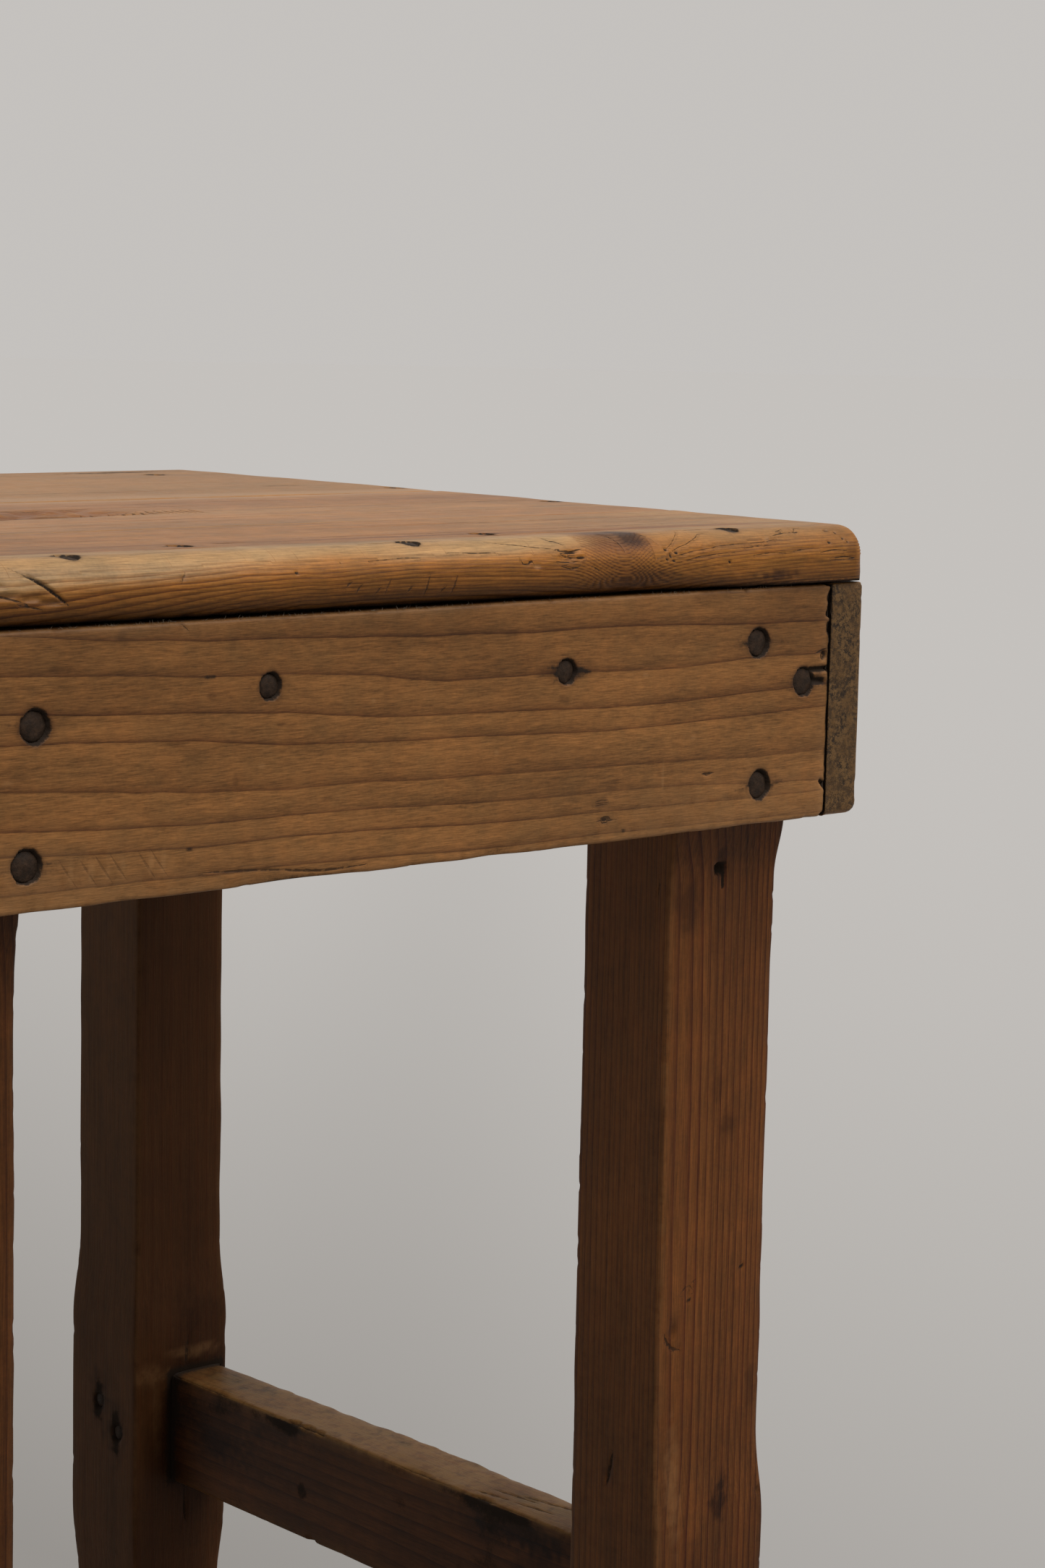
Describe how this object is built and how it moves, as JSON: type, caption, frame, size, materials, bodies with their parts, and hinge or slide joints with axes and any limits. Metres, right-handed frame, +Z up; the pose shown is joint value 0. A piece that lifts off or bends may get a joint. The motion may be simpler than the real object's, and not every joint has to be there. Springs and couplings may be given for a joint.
{
  "type": "high stool",
  "caption": "High square pine stool with a nosed plank seat, nailed board aprons, shaped legs, tenoned side rails and lower foot rails.",
  "frame": {"origin": "on the floor under the centre of the seat", "axes": "+Z up, +X to the right along the front apron, -Y towards the front"},
  "size_m": [0.354, 0.347, 0.74],
  "materials": {
    "seat_pine": "worn wax, satin",
    "apron_pine": "worn, matt",
    "leg_pine": "worn, matt",
    "rail_pine": "worn, matt",
    "batten_pine": "sawn, unfinished",
    "nail_iron": "dark oxidised iron"
  },
  "bodies": {
    "root": {"back_apron": "apron_pine", "back_apron_batten_nail_left": "nail_iron", "back_apron_batten_nail_right": "nail_iron", "back_apron_left_nail_1": "nail_iron", "back_apron_left_nail_2": "nail_iron", "back_apron_right_nail_1": "nail_iron", "back_apron_right_nail_2": "nail_iron", "back_foot_rail": "rail_pine", "back_foot_rail_left_nail": "nail_iron", "back_foot_rail_right_nail": "nail_iron", "back_left_leg": "leg_pine", "back_right_leg": "leg_pine", "back_seat_board": "seat_pine", "front_apron": "apron_pine", "front_apron_batten_nail_left": "nail_iron", "front_apron_batten_nail_right": "nail_iron", "front_apron_left_nail_1": "nail_iron", "front_apron_left_nail_2": "nail_iron", "front_apron_left_nail_3": "nail_iron", "front_apron_right_nail_1": "nail_iron", "front_apron_right_nail_2": "nail_iron", "front_apron_right_nail_3": "nail_iron", "front_foot_rail": "rail_pine", "front_foot_rail_left_nail": "nail_iron", "front_foot_rail_right_nail": "nail_iron", "front_left_leg": "leg_pine", "front_right_leg": "leg_pine", "front_seat_board": "seat_pine", "front_seat_nail_1": "nail_iron", "front_seat_nail_2": "nail_iron", "front_seat_nail_3": "nail_iron", "left_apron": "apron_pine", "left_apron_back_nail_1": "nail_iron", "left_apron_back_nail_2": "nail_iron", "left_apron_front_nail_1": "nail_iron", "left_apron_front_nail_2": "nail_iron", "left_batten": "batten_pine", "left_batten_seat_nail": "nail_iron", "left_leg_seat_nail": "nail_iron", "left_seat_nail_back": "nail_iron", "left_seat_nail_middle": "nail_iron", "left_side_rail": "rail_pine", "left_side_rail_back_nail_1": "nail_iron", "left_side_rail_back_nail_2": "nail_iron", "left_side_rail_front_nail_1": "nail_iron", "middle_seat_board": "seat_pine", "right_apron": "apron_pine", "right_apron_back_nail_1": "nail_iron", "right_apron_back_nail_2": "nail_iron", "right_apron_front_nail_1": "nail_iron", "right_apron_front_nail_2": "nail_iron", "right_batten": "batten_pine", "right_batten_seat_nail": "nail_iron", "right_leg_seat_nail": "nail_iron", "right_seat_nail_back": "nail_iron", "right_seat_nail_middle": "nail_iron", "right_side_rail": "rail_pine", "right_side_rail_back_nail_1": "nail_iron", "right_side_rail_back_nail_2": "nail_iron", "right_side_rail_front_nail_1": "nail_iron"}
  },
  "joints": []
}
